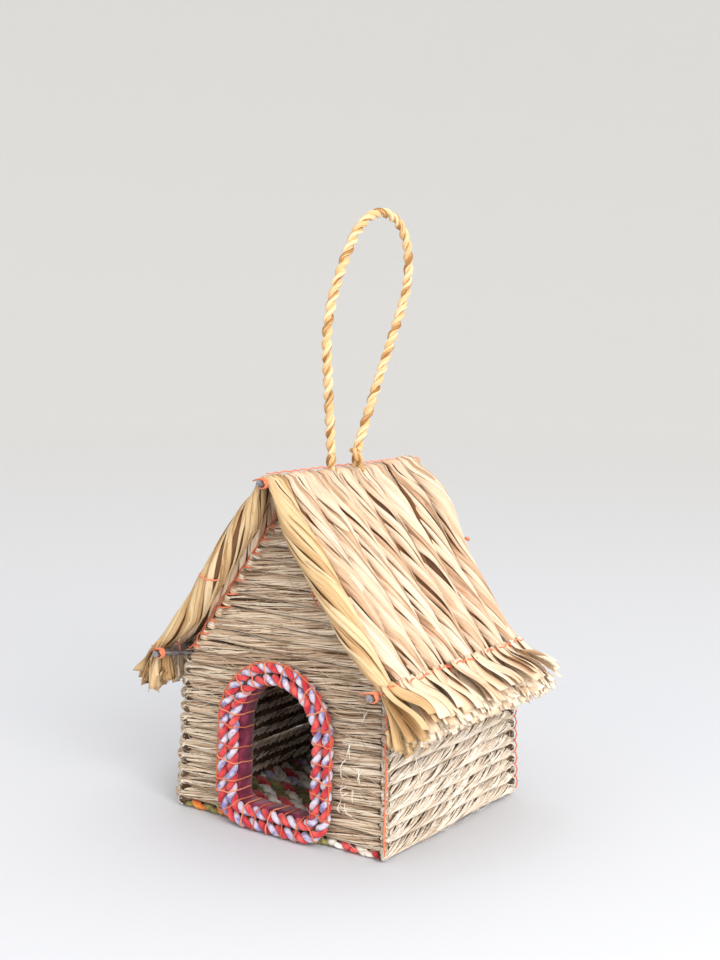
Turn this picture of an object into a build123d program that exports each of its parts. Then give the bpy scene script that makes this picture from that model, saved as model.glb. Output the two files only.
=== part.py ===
"""A small hanging birdhouse: jute-wrapped walls and a seagrass roof on a wire frame."""
from build123d import *
from math import atan2, cos, hypot, pi, radians, sin, tan
import os

# Driving dimensions, in millimetres. The origin is the centre of the floor's underside,
# the doorway faces -Y and the ridge runs along Y.
body_width = 150.0  # outside width of the walls at the floor
body_depth = 144.0  # outside depth of the walls at the floor
wall_lean = 0.033  # how far each wall leans in per millimetre of height
wall_thickness = 9.0
floor_thickness = 5.0
floor_ropes = 13  # rag ropes side by side in the floor
course_pitch = 7.5  # one course of jute
side_courses = 12  # courses in each side wall
course_gap = 0.1  # slack between neighbouring courses
course_round = 3.2  # rounding of a course's long edges
floor_round = 1.5  # rounding of a floor rope's edges
gable_top_gap = 5.0  # from the last gable course to the peak, at least

ridge_height = 202.0  # axis of the rod that carries the ridge
eave_height = 96.0  # axes of the two eave rods
eave_stand = 0.5  # how far outside the foot of a side wall an eave rod stands
roof_front = 88.5  # front end of the roof, from the middle plane
roof_length = 153.0
roll_count = 9
roll_gap = 0.2
roll_thickness = 13.0
ridge_seam_thickness = 4.4  # the rolls are sewn flat along the ridge
eave_neck_thickness = 5.0  # and again where they pass over the eave rods
fringe_thickness = 9.0
fringe_length = 32.0  # loose ends beyond the eave rod

wire_radius = 1.5
rod_radius = 2.0
rod_overhang = 2.5  # bare end of each roof rod
wire_clearance = 0.1

door_half_width = 33.5  # to the line between the rag rope's two rounds
door_rope_diameter = 7.0
door_crown = 59.5  # height of the arch's centre
door_corner = 12.0  # bend radius of that line at the sill
door_foot = 0.5  # the outer round's lowest point
door_clearance = 0.25
lining_thickness = 4.5
lining_depth = 10.0

thread_radius = 0.6
thread_clearance = 0.3

loop_diameter = 6.0
loop_clearance = 0.3
hitch_front = -25.0  # where the loop's front leg meets the ridge
hitch_back = 0.5  # and its back leg

STANDING = (Align.CENTER, Align.CENTER, Align.MIN)

os.makedirs("parts", exist_ok=True)

# Worked-out places shared by several pieces.
eave_reach = body_width / 2 + eave_stand
roof_angle = atan2(ridge_height - eave_height, eave_reach)
roof_back = roof_length - roof_front
wall_height = floor_thickness + side_courses * course_pitch
frame_inset = wall_thickness / 2
gable_drop = (roll_thickness / 2 + wire_radius + 2 * wire_clearance) / cos(roof_angle)
apex_height = ridge_height - gable_drop
base_wire_height = floor_thickness / 2


def half_width(height):
    return body_width / 2 - wall_lean * height


def half_depth(height):
    return body_depth / 2 - wall_lean * height


def gable_half(height):
    """Half the width between the two rafters at a height."""
    return (apex_height - height) / tan(roof_angle)


def finish(builder, label):
    builder.part.label = label
    export_step(builder.part, f"parts/{label}.step")


def rod(start, end, radius, mode=Mode.ADD):
    """A straight round wire between two points, inside the part being built."""
    start, end = Vector(*start), Vector(*end)
    plane = Plane(origin=start, z_dir=end - start)
    with Locations(plane.location):
        Cylinder(radius, (end - start).length, align=STANDING, mode=mode)


def ball(point, radius, mode=Mode.ADD):
    with Locations(point):
        Sphere(radius, mode=mode)


# Each end of the house has a welded wire frame: a base wire, two uprights, two rafters and a
# short post up to the ridge rod. It runs down the middle of the wall's thickness.
def frame_corners(side, face):
    """Base corner and shoulder of one upright; side is left or right, face front or back."""
    base = (side * (half_width(0) - frame_inset), face * (half_depth(0) - frame_inset))
    shoulder_half = half_width(wall_height) - frame_inset
    shoulder_z = apex_height - shoulder_half * tan(roof_angle)
    shoulder_y = face * (half_depth(shoulder_z) - frame_inset)
    return (*base, base_wire_height), (side * shoulder_half, shoulder_y, shoulder_z)


def frame_apex(face):
    return (0, face * (half_depth(apex_height) - frame_inset), apex_height)


def end_frame(face, radius, mode=Mode.ADD):
    apex = frame_apex(face)
    left_base, left_shoulder = frame_corners(-1, face)
    right_base, right_shoulder = frame_corners(1, face)
    rod(left_base, right_base, radius, mode)
    for base, shoulder in ((left_base, left_shoulder), (right_base, right_shoulder)):
        rod(base, shoulder, radius, mode)
        rod(shoulder, apex, radius, mode)
        ball(base, radius, mode)
        ball(shoulder, radius, mode)
    ball(apex, radius, mode)


def side_wires(side, radius, mode=Mode.ADD):
    """The sill and plate wires of one side, which join the two end frames."""
    front_base, front_shoulder = frame_corners(side, -1)
    back_base, back_shoulder = frame_corners(side, 1)
    rod(front_base, back_base, radius, mode)
    rod(front_shoulder, back_shoulder, radius, mode)


def bracket_ends(side, face):
    """From a shoulder of the frame out to the eave rod, near the rod's end."""
    reach = roof_front if face == -1 else roof_back
    tip = (side * eave_reach, face * (reach - rod_radius), eave_height)
    return frame_corners(side, face)[1], tip


# Room for the frame inside the pieces that it passes through.
room_radius = wire_radius + wire_clearance
with BuildPart() as end_frame_room:
    end_frame(-1, room_radius)
    end_frame(1, room_radius)

with BuildPart() as wire_room:
    add(end_frame_room.part)
    for side in (-1, 1):
        side_wires(side, room_radius)
        rod(*bracket_ends(side, -1), room_radius)
        rod(*bracket_ends(side, 1), room_radius)

ridge_start = (0, -roof_front - rod_overhang, ridge_height)
ridge_end = (0, roof_back + rod_overhang, ridge_height)

for face, label in ((-1, "front_gable_frame"), (1, "back_gable_frame")):
    with BuildPart() as gable_frame:
        end_frame(face, wire_radius)
        apex = frame_apex(face)
        rod(apex, (0, apex[1], ridge_height), wire_radius)
        rod(ridge_start, ridge_end, rod_radius + wire_clearance, Mode.SUBTRACT)
    finish(gable_frame, label)

for side, label in ((-1, "left"), (1, "right")):
    front_base, front_shoulder = frame_corners(side, -1)
    back_base, back_shoulder = frame_corners(side, 1)
    for name, front, back in (
        ("sill_wire", front_base, back_base),
        ("plate_wire", front_shoulder, back_shoulder),
    ):
        with BuildPart() as side_wire:
            rod(front, back, wire_radius)
            add(end_frame_room.part, mode=Mode.SUBTRACT)
        finish(side_wire, f"{label}_{name}")

# Three steel rods carry the roof: one under the ridge and one under each eave.
with BuildPart() as ridge_rod:
    rod(ridge_start, ridge_end, rod_radius)
finish(ridge_rod, "ridge_rod")


def eave_rod_ends(side):
    front = (side * eave_reach, -roof_front - rod_overhang, eave_height)
    back = (side * eave_reach, roof_back + rod_overhang, eave_height)
    return front, back


for side, label in ((-1, "left_eave_rod"), (1, "right_eave_rod")):
    with BuildPart() as eave_rod:
        rod(*eave_rod_ends(side), rod_radius)
    finish(eave_rod, label)

# A short wire runs out from each shoulder of the frame to the eave rod.
for side, side_name in ((-1, "left"), (1, "right")):
    for face, face_name in ((-1, "front"), (1, "back")):
        with BuildPart() as bracket:
            rod(*bracket_ends(side, face), wire_radius)
            rod(*eave_rod_ends(side), rod_radius + wire_clearance, Mode.SUBTRACT)
            add(end_frame_room.part, mode=Mode.SUBTRACT)
            side_wires(side, room_radius, Mode.SUBTRACT)
        finish(bracket, f"{face_name}_{side_name}_eave_bracket")


# The doorway's outline is an arch with rounded corners at the sill. Offsets of this one
# outline, on planes that lean with the front wall, shape the rag rope, its lining, the hoop
# and the opening in the wall.
door_sill = door_foot + door_rope_diameter
front_face = Plane((0, -half_depth(0), 0), x_dir=(1, 0, 0), z_dir=(0, -1, wall_lean))


def door_outline(inset):
    """The outline's edges, drawn in the builder that calls this; a positive inset is inwards."""
    half, sill, corner = door_half_width - inset, door_sill + inset, door_corner - inset
    Line((-half, door_crown), (-half, sill + corner))
    RadiusArc((-half, sill + corner), (-half + corner, sill), -corner)
    Line((-half + corner, sill), (half - corner, sill))
    RadiusArc((half - corner, sill), (half, sill + corner), -corner)
    Line((half, sill + corner), (half, door_crown))
    RadiusArc((half, door_crown), (-half, door_crown), -half)


def door_prism(inset, stand, depth, mode=Mode.ADD):
    """A solid of the doorway's outline, from a distance in front of the wall backwards."""
    with BuildSketch(front_face.offset(stand)) as opening:
        with BuildLine():
            door_outline(inset)
        make_face()
    extrude(opening.sketch, amount=-depth, mode=mode)


def door_tube(inset, stand, radius, mode=Mode.ADD):
    """A round bead that follows the doorway's outline."""
    face = front_face.offset(stand)
    with BuildLine(face) as path:
        door_outline(inset)
    start = face.from_local_coords((inset - door_half_width, door_crown))
    with BuildSketch(Plane(start, z_dir=face.y_dir)) as section:
        Circle(radius)
    sweep(section.sketch, path=path.wire(), mode=mode)


door_rope_radius = door_rope_diameter / 2
rope_stand = door_rope_radius + 2 * door_clearance
lining_inner = door_rope_diameter - door_clearance
lining_outer = lining_inner - lining_thickness
opening_inset = lining_outer - door_clearance
hoop_inset = (lining_inner + lining_outer) / 2
hoop_stand = door_clearance - lining_depth

# The rag rope goes round the doorway twice, one round inside the other, on the wall's face.
with BuildPart() as door_rope:
    for round_inset in (-door_rope_radius, door_rope_radius):
        door_tube(round_inset, rope_stand, door_rope_radius - course_gap)
finish(door_rope, "door_rope")

# A band of cloth lines the opening, folded over a wire hoop at its back edge.
with BuildPart() as door_lining:
    door_prism(lining_outer, door_clearance, lining_depth)
    door_prism(lining_inner, door_clearance, lining_depth, Mode.SUBTRACT)
    door_tube(hoop_inset, hoop_stand, room_radius, Mode.SUBTRACT)
finish(door_lining, "door_lining")

with BuildPart() as door_hoop:
    door_tube(hoop_inset, hoop_stand, wire_radius)
finish(door_hoop, "door_hoop")

# One thread runs up, over and down the doorway, where the rag rope meets the wall.
with BuildPart() as door_thread:
    thread_half = door_half_width + door_rope_diameter + thread_clearance + thread_radius
    thread_foot = door_sill + door_corner
    thread_face = front_face.offset(thread_clearance + thread_radius)
    with BuildLine(thread_face) as thread_line:
        Line((-thread_half, thread_foot), (-thread_half, door_crown))
        RadiusArc((-thread_half, door_crown), (thread_half, door_crown), thread_half)
        Line((thread_half, door_crown), (thread_half, thread_foot))
    thread_start = thread_face.from_local_coords((-thread_half, thread_foot))
    with BuildSketch(Plane(thread_start, z_dir=thread_face.y_dir)):
        Circle(thread_radius)
    sweep(path=thread_line.wire())
finish(door_thread, "door_thread")


# Walls are courses of loosely twisted jute, stacked and stitched round the wire frame. Each
# course is a bar with rounded edges. The walls meet in mitres at the corners.
def course_middle(number):
    return floor_thickness + (number + 0.5) * course_pitch


def courses(plane, first, count, half_size, face):
    """A stack of course sections on a plane across the wall."""
    with BuildSketch(plane) as stack:
        for number in range(first, first + count):
            height = course_middle(number)
            with Locations((face * (half_size(height) - wall_thickness / 2), height)):
                RectangleRounded(wall_thickness, course_pitch - course_gap, course_round)
    return stack.sketch


def keep_plan(points):
    """Keep only what stands over an outline drawn on the floor."""
    with BuildSketch(Plane.XY) as outline:
        Polygon(*points, align=None)
    extrude(outline.sketch, amount=apex_height, mode=Mode.INTERSECT)


def gable_outline(bottom, margin):
    """Keep what lies under the rafters, out to a margin beyond their middles."""
    top = apex_height + margin / cos(roof_angle)
    half = (top - bottom) / tan(roof_angle)
    with BuildSketch(Plane.XZ.offset(-body_depth)) as outline:
        Polygon((-half, bottom), (half, bottom), (0, top), align=None)
    extrude(outline.sketch, amount=2 * body_depth, mode=Mode.INTERSECT)


mitre = half_width(0) - half_depth(0)  # the mitres lie in the planes |x| - |y| = mitre
mitre_inner = half_depth(wall_height) - 2 * wall_thickness
mitre_outer = half_depth(0) + wall_thickness  # well outside the walls
gable_courses = int((apex_height - wall_height - gable_top_gap) / course_pitch)


for face, label in ((-1, "front"), (1, "back")):
    near, far = face * mitre_inner, face * mitre_outer
    with BuildPart() as end_wall:
        extrude(courses(Plane.YZ, 0, side_courses, half_depth, face), amount=body_width, both=True)
        keep_plan((
            (-mitre_inner - mitre, near), (-mitre_outer - mitre, far),
            (mitre_outer + mitre, far), (mitre_inner + mitre, near),
        ))
        add(wire_room.part, mode=Mode.SUBTRACT)
        if face == -1:
            door_prism(opening_inset, body_depth, 2 * body_depth, Mode.SUBTRACT)
    finish(end_wall, f"{label}_wall")

    with BuildPart() as gable:
        stack = courses(Plane.YZ, side_courses, gable_courses, half_depth, face)
        extrude(stack, amount=body_width, both=True)
        gable_outline(wall_height, wire_radius)
        add(wire_room.part, mode=Mode.SUBTRACT)
        if face == -1:
            door_prism(opening_inset, body_depth, 2 * body_depth, Mode.SUBTRACT)
    finish(gable, f"{label}_gable")

for side, label in ((-1, "left_wall"), (1, "right_wall")):
    near, far = side * (mitre_inner + mitre), side * (mitre_outer + mitre)
    with BuildPart() as side_wall:
        extrude(courses(Plane.XZ, 0, side_courses, half_width, side), amount=body_depth, both=True)
        keep_plan((
            (near, -mitre_inner), (far, -mitre_outer), (far, mitre_outer), (near, mitre_inner),
        ))
        add(wire_room.part, mode=Mode.SUBTRACT)
    finish(side_wall, label)

# The floor is a row of rag ropes laid side to side and stitched flat.
with BuildPart() as floor:
    floor_pitch = body_depth / floor_ropes
    with BuildSketch(Plane.YZ):
        with Locations((0, floor_thickness / 2)):
            with GridLocations(floor_pitch, 0, floor_ropes, 1):
                RectangleRounded(floor_pitch - course_gap, floor_thickness, floor_round)
    extrude(amount=body_width / 2, both=True)
    add(wire_room.part, mode=Mode.SUBTRACT)
finish(floor, "floor")

# The roof is a row of twisted seagrass rolls laid over the ridge rod and both eave rods. A
# roll is thick down the slopes, thin where it is sewn at the ridge and eaves, and its loose
# ends fan out below the eave.
slope_length = hypot(ridge_height - eave_height, eave_reach)
roll_pitch = roof_length / roll_count
roll_width = roll_pitch - roll_gap
seam_lift = rod_radius + 2 * wire_clearance + ridge_seam_thickness / 2
neck_lift = rod_radius + 4 * wire_clearance + eave_neck_thickness / 2
# Distance down the slope, thickness and height above the line between the rods.
roll_stations = (
    (0.11 * slope_length, 0.75 * roll_thickness, seam_lift / 2),
    (0.22 * slope_length, roll_thickness, 0.0),
    (0.78 * slope_length, roll_thickness, 0.0),
    (0.91 * slope_length, 0.75 * roll_thickness, neck_lift / 2),
    (slope_length, eave_neck_thickness, neck_lift),
    (slope_length + 0.4 * fringe_length, 0.9 * fringe_thickness, neck_lift),
    (slope_length + fringe_length, fringe_thickness, neck_lift),
)


def slope_point(distance, lift, side=1):
    """A point in the XZ plane, down the right slope from the ridge rod's axis."""
    across = distance * cos(roof_angle) + lift * sin(roof_angle)
    return side * across, ridge_height - distance * sin(roof_angle) + lift * cos(roof_angle)


hitch_radius = rod_radius + wire_clearance + loop_diameter / 2
hitch_centres = [(0, y, ridge_height) for y in (hitch_front, hitch_back)]


def hitches(radius, mode=Mode.ADD):
    """A turn of rope round the ridge rod under each leg of the hanging loop."""
    with Locations(*[Location(centre, (90, 0, 0)) for centre in hitch_centres]):
        Torus(hitch_radius, radius, mode=mode)


for number in range(roll_count):
    middle = -roof_front + (number + 0.5) * roll_pitch
    with BuildPart() as roll:
        crest = Plane((0, middle, ridge_height + seam_lift), x_dir=(0, 1, 0), z_dir=(1, 0, 0))
        with BuildSketch(crest):
            RectangleRounded(roll_width, ridge_seam_thickness, 0.45 * ridge_seam_thickness)
        for distance, thickness, lift in roll_stations:
            across, height = slope_point(distance, lift)
            downhill = (cos(roof_angle), 0, -sin(roof_angle))
            with BuildSketch(Plane((across, middle, height), x_dir=(0, 1, 0), z_dir=downhill)):
                RectangleRounded(roll_width, thickness, 0.45 * thickness)
        loft(ruled=True)
        mirror(about=Plane.YZ)
        rod(ridge_start, ridge_end, rod_radius + wire_clearance, Mode.SUBTRACT)
        if any(abs(y - middle) < (roll_pitch + loop_diameter) / 2 for y in (hitch_front, hitch_back)):
            hitches(loop_diameter / 2 + wire_clearance, Mode.SUBTRACT)
    finish(roll, f"roof_roll_{number + 1}")

with BuildPart() as loop_hitches:
    hitches(loop_diameter / 2)
finish(loop_hitches, "loop_hitches")

# Coloured thread: seams down the corners, lacing up the gables, a line of stitches along the
# ridge and one over each eave.
corner_share = 0.75  # how much of its clearance a seam keeps off each of the two walls
seam_stand = corner_share * (thread_radius + thread_clearance)


def corner_point(side, face, height):
    x = side * (half_width(height) + seam_stand)
    return x, face * (half_depth(height) + seam_stand), height


for side, side_name in ((-1, "left"), (1, "right")):
    for face, face_name in ((-1, "front"), (1, "back")):
        with BuildPart() as seam:
            low = corner_point(side, face, floor_thickness)
            rod(low, corner_point(side, face, wall_height), thread_radius)
        finish(seam, f"{face_name}_{side_name}_corner_seam")


def face_point(across, height, face):
    return across, face * (half_depth(height) + thread_clearance + thread_radius), height


for face, label in ((-1, "front_gable_lacing"), (1, "back_gable_lacing")):
    with BuildPart() as lacing:
        for side in (-1, 1):
            foot = face_point(side * gable_half(wall_height), wall_height, face)
            rod(foot, face_point(0, apex_height, face), thread_radius)
        ball(face_point(0, apex_height, face), thread_radius)
        add(wire_room.part, mode=Mode.SUBTRACT)
    finish(lacing, label)

with BuildPart() as ridge_stitching:
    lift = seam_lift + ridge_seam_thickness / 2 + thread_clearance + thread_radius
    line = [(0, y, ridge_height + lift) for y in (-roof_front, roof_back)]
    rod(*line, thread_radius)
    hitches(loop_diameter / 2 + thread_clearance, Mode.SUBTRACT)
finish(ridge_stitching, "ridge_stitching")

for side, label in ((-1, "left_eave_stitching"), (1, "right_eave_stitching")):
    with BuildPart() as eave_stitching:
        lift = neck_lift + eave_neck_thickness / 2 + thread_clearance + thread_radius
        across, height = slope_point(slope_length, lift, side)
        rod((across, -roof_front, height), (across, roof_back, height), thread_radius)
    finish(eave_stitching, label)

# The hanging loop is a length of two-ply seagrass rope. Its legs swing together about the
# line through their feet, just above the two hitches.
loop_foot = ridge_height + hitch_radius + loop_diameter + loop_clearance
loop_points = (
    (hitch_front, loop_foot),
    (-29.0, 249.0),
    (-33.0, 290.0),
    (-13.0, 331.0),
    (4.0, 350.0),
    (28.0, 358.0),
    (49.0, 342.0),
    (53.0, 313.0),
    (36.0, 281.0),
    (17.0, 247.0),
    (hitch_back, loop_foot),
)
loop_route = [Vector(0, y, z) for y, z in loop_points]


def bend_radii(route):
    """The largest fair bend at each corner: 0.45 of the shorter run, over tan(half turn)."""
    radii = []
    for before, corner, after in zip(route, route[1:], route[2:]):
        turn = (corner - before).get_angle(after - corner)
        run = min((corner - before).length, (after - corner).length)
        radii.append(0.45 * run / tan(radians(turn / 2)))
    return radii


loop_radii = bend_radii(loop_route)
print("loop bend radii", [round(radius, 1) for radius in loop_radii])
with BuildPart() as hanging_loop:
    with BuildLine() as loop_line:
        FilletPolyline(*loop_route, radius=loop_radii)
    with BuildSketch(Plane(loop_line.line @ 0, z_dir=loop_line.line % 0)):
        Circle(loop_diameter / 2)
    sweep()
    for end in (loop_route[0], loop_route[-1]):
        ball(end, loop_diameter / 2)
finish(hanging_loop, "hanging_loop")
loop_length = loop_line.wire().length
expected = pi * (loop_diameter / 2) ** 2 * (loop_length + 2 / 3 * loop_diameter)
print("loop length", round(loop_length, 1), "volume share", round(hanging_loop.part.volume / expected, 4))
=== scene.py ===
"""A hanging birdhouse of jute and seagrass: its fibres, ropes, cloth and thread."""
import math

import bpy
import numpy as np
from mathutils import Matrix, Vector


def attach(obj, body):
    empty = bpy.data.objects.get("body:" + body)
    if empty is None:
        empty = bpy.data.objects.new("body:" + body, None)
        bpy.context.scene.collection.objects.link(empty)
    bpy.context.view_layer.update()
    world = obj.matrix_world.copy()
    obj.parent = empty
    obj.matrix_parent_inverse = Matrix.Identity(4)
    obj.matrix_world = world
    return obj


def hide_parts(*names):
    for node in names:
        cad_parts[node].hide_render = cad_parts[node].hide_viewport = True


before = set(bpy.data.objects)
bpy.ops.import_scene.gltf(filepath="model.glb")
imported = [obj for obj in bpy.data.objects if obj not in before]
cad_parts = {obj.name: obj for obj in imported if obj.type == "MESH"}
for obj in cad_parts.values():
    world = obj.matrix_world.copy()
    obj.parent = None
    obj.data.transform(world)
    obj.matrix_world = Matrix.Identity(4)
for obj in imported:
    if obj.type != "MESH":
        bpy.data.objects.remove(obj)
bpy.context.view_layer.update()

# ---------------------------------------------------------------------------------------------
# Camera, light and table. A portrait view from the front right and a little above, in soft
# daylight from the right, on a pale seamless ground.
# ---------------------------------------------------------------------------------------------
azimuth, elevation, roll = math.radians(35.0), math.radians(6.9), math.radians(1.16)
distance = 0.856
backward = Vector((
    math.sin(azimuth) * math.cos(elevation),
    -math.cos(azimuth) * math.cos(elevation),
    math.sin(elevation),
))
rightward = Vector((math.cos(azimuth), math.sin(azimuth), 0.0))
upward = backward.cross(rightward)
target = rightward * 0.0025 + Vector((0.0, 0.0, 0.1962))
tilted_right = rightward * math.cos(roll) + upward * math.sin(roll)
tilted_up = upward * math.cos(roll) - rightward * math.sin(roll)
turn = Matrix((tilted_right, tilted_up, backward)).transposed().to_euler()
bpy.ops.object.select_all(action="DESELECT")
bpy.ops.object.camera_add(location=target + backward * distance, rotation=turn)
camera = bpy.context.object
camera.data.lens = 54.2
camera.data.sensor_width = 36.0
camera.data.clip_start = 0.01
bpy.context.scene.camera = camera


def area_light(name, place, aim, size, power, color):
    """A soft square lamp that faces a point."""
    bpy.ops.object.light_add(type="AREA", location=place)
    lamp = bpy.context.object
    lamp.name = name
    lamp.data.size = size
    lamp.data.energy = power
    lamp.data.color = color
    lamp.rotation_euler = (Vector(place) - Vector(aim)).to_track_quat("Z", "Y").to_euler()


def add_node(tree, kind, values=None, **settings):
    """A shader node with its settings; each value is a constant or the socket that feeds it."""
    node = tree.nodes.new("ShaderNode" + kind)
    for name, setting in settings.items():
        setattr(node, name, setting)
    for name, value in (values or {}).items():
        if isinstance(value, bpy.types.NodeSocket):
            tree.links.new(value, node.inputs[name])
        else:
            node.inputs[name].default_value = value
    return node


def blend_colors(tree, share, first, second):
    """The colour between two others at a share of the second."""
    blend = add_node(tree, "Mix", {"Factor": share, "A": first, "B": second}, data_type="RGBA")
    return blend.outputs["Result"]


def new_finish(name, roughness, gloss=0.5):
    """A new material, its node tree and its shader."""
    material = bpy.data.materials.new(name)
    material.use_nodes = True
    shader = material.node_tree.nodes["Principled BSDF"]
    shader.inputs["Roughness"].default_value = roughness
    shader.inputs["Specular IOR Level"].default_value = gloss
    return material, material.node_tree, shader


heart = (0.0, 0.0, 0.12)
area_light("window", (1.25, -0.8, 0.9), heart, 0.9, 19.0, (1.0, 0.985, 0.97))
area_light("front_fill", (-0.3, -1.7, 0.3), heart, 1.4, 7.0, (1.0, 0.99, 0.98))
area_light("side_fill", (1.7, -0.1, 0.25), heart, 1.2, 12.0, (1.0, 0.99, 0.98))
area_light("top_fill", (0.0, 0.3, 1.8), heart, 1.6, 4.5, (1.0, 1.0, 1.0))

world = bpy.data.worlds.new("soft_room")
world.use_nodes = True
sky = world.node_tree.nodes["Background"]
sky.inputs["Color"].default_value = (1.0, 0.985, 0.965, 1.0)
sky.inputs["Strength"].default_value = 1.06
bpy.context.scene.world = world
bpy.context.scene.view_settings.view_transform = "Standard"

# The ground is one round sheet that sweeps up far behind, so that no horizon shows.
flat_reach, sweep_height, sweep_steps, ring_corners = 2.4, 2.6, 8, 96
rings = [(0.4, 0.0), (1.2, 0.0), (flat_reach, 0.0)]
for step in range(1, sweep_steps + 1):
    climb = step / sweep_steps * math.pi / 2
    rings.append((flat_reach + sweep_height * math.sin(climb), sweep_height * (1 - math.cos(climb))))
spots = [(0.0, 0.0, 0.0)]
for radius, height in rings:
    for corner in range(ring_corners):
        swing = 2 * math.pi * corner / ring_corners
        spots.append((radius * math.cos(swing), radius * math.sin(swing), height))
ground_faces = [(0, 1 + corner, 1 + (corner + 1) % ring_corners) for corner in range(ring_corners)]
for ring in range(len(rings) - 1):
    inner = 1 + ring * ring_corners
    outer = inner + ring_corners
    for corner in range(ring_corners):
        after = (corner + 1) % ring_corners
        ground_faces.append((inner + corner, outer + corner, outer + after, inner + after))
ground_mesh = bpy.data.meshes.new("ground")
ground_mesh.from_pydata(spots, [], ground_faces)
ground_mesh.polygons.foreach_set("use_smooth", [True] * len(ground_faces))
ground = bpy.data.objects.new("ground", ground_mesh)
bpy.context.collection.objects.link(ground)
ground_paper, tree, paper = new_finish("ground_paper", 0.9, 0.1)
place = add_node(tree, "TexCoord")
reach = add_node(tree, "VectorMath", {0: place.outputs["Object"]}, operation="LENGTH")
fade = add_node(tree, "MapRange", {"Value": reach.outputs["Value"], "From Min": 0.3, "From Max": 2.6})
# The paper's tone is painted light: darker and bluer near the house, where the lamps light it, paler and
# warmer out on the sweep, which only the sky lights.
near_tone, far_tone = (0.612, 0.626, 0.660, 1.0), (0.735, 0.730, 0.720, 1.0)
tree.links.new(blend_colors(tree, fade.outputs["Result"], near_tone, far_tone), paper.inputs["Base Color"])
ground.data.materials.append(ground_paper)

# ---------------------------------------------------------------------------------------------
# The hanging loop is a length of two-ply seagrass rope, laid right-handed. Both legs end in a
# hitch round the ridge rod. Each ply is a few dry leaf strips twisted together by hand.
# ---------------------------------------------------------------------------------------------
mm = 0.001
rng = np.random.default_rng(7)


def srgb(red, green, blue):
    """A colour chosen on screen, as the shader needs it."""
    shares = [channel / 255 for channel in (red, green, blue)]
    return tuple(s / 12.92 if s <= 0.04045 else ((s + 0.055) / 1.055) ** 2.4 for s in shares) + (1.0,)


def unit(vectors):
    return vectors / np.maximum(np.linalg.norm(vectors, axis=-1, keepdims=True), 1e-9)


def points(x, y, z):
    """Points from their three coordinates, each an array or one number."""
    return np.stack(np.broadcast_arrays(x, y, z), -1)


def full_turn(count):
    """Evenly spaced angles once round, without the last one, which would repeat the first."""
    return np.linspace(0, 2 * math.pi, count, endpoint=False)


def wander(count, knots, spread):
    """A slow random drift: a value at each station, about zero."""
    steps = np.arange(max(knots, 2))
    drift = np.interp(np.linspace(0, steps[-1], count), steps, rng.normal(0, spread, len(steps)))
    return np.convolve(np.pad(drift, 2, mode="edge"), np.ones(5) / 5, mode="valid")


class Fibres:
    """Many strands that make one piece. Every strand is a flattened tube along its own line."""

    def __init__(self):
        self.points, self.corners, self.sizes, self.uvs, self.finishes = [], [], [], [], []
        self.total = 0
        self.strands = 0

    def strand(self, line, out, width, depth, sides=6, finish=0, closed=False):
        """Add a strand; out is the way that its broad side faces. Sizes are in millimetres."""
        count = len(line)
        if closed:
            along = unit(np.roll(line, -1, axis=0) - np.roll(line, 1, axis=0))
        else:
            along = unit(np.gradient(line, axis=0))
        across = unit(np.cross(np.broadcast_to(out, line.shape), along))
        facing = np.cross(along, across)
        turn = np.arange(sides) * 2 * math.pi / sides
        half_w = (np.broadcast_to(width, count) / 2)[:, None, None]
        half_d = (np.broadcast_to(depth, count) / 2)[:, None, None]
        ring = (line[:, None] + across[:, None] * np.cos(turn)[None, :, None] * half_w
                + facing[:, None] * np.sin(turn)[None, :, None] * half_d)
        run = np.concatenate([[0.0], np.cumsum(np.linalg.norm(np.diff(line, axis=0), axis=1))])
        rows = count if closed else count - 1
        i, j = np.meshgrid(np.arange(rows), np.arange(sides), indexing="ij")
        nxt, after = (j + 1) % sides, (i + 1) % count
        quads = np.stack([i * sides + j, i * sides + nxt, after * sides + nxt, after * sides + j], -1)
        if closed:
            run = np.append(run, run[-1] + np.linalg.norm(line[0] - line[-1]))
        u0, u1 = (j / sides) * 0.96 + 0.02, ((j + 1) / sides) * 0.96 + 0.02
        v0, v1 = run[i], run[i + 1]
        uv = np.stack([np.stack([u0, v0], -1), np.stack([u1, v0], -1),
                       np.stack([u1, v1], -1), np.stack([u0, v1], -1)], -2)
        uv[..., 0] += self.strands
        self.points.append(ring.reshape(-1, 3))
        self.corners.append(quads.reshape(-1) + self.total)
        self.sizes.append(np.full(rows * sides, 4))
        self.uvs.append(uv.reshape(-1, 2))
        shades = np.broadcast_to(finish, count)
        self.finishes.append(np.repeat(shades[:rows], sides))
        if not closed:
            caps = np.concatenate([np.arange(sides)[::-1], (count - 1) * sides + np.arange(sides)])
            self.corners.append(caps + self.total)
            self.sizes.append(np.full(2, sides))
            cap_uv = np.full((2 * sides, 2), self.strands + 0.5)
            cap_uv[:, 1] = np.repeat([0.0, run[-1]], sides)
            self.uvs.append(cap_uv)
            self.finishes.append(shades[[0, -1]])
        self.total += count * sides
        self.strands += 1

    def piece(self, name, body, slot, materials, nodes=()):
        """Make the mesh, give it its finishes and let it ride on its body."""
        data = bpy.data.meshes.new(name)
        corners, sizes = np.concatenate(self.corners), np.concatenate(self.sizes)
        data.vertices.add(self.total)
        data.vertices.foreach_set("co", (np.concatenate(self.points) * mm).ravel())
        data.loops.add(len(corners))
        data.loops.foreach_set("vertex_index", corners.astype(np.int32))
        data.polygons.add(len(sizes))
        data.polygons.foreach_set("loop_start", (np.cumsum(sizes) - sizes).astype(np.int32))
        data.polygons.foreach_set("material_index", np.concatenate(self.finishes).astype(np.int32))
        data.polygons.foreach_set("use_smooth", np.ones(len(sizes), dtype=bool))
        data.uv_layers.new(name="fibre").data.foreach_set("uv", np.concatenate(self.uvs).ravel())
        data.update(calc_edges=True)
        data.validate()
        for material in materials:
            data.materials.append(material)
        made = bpy.data.objects.new(name, data)
        bpy.context.collection.objects.link(made)
        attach(made, body)
        if nodes:
            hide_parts(*nodes)
        return made


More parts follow.
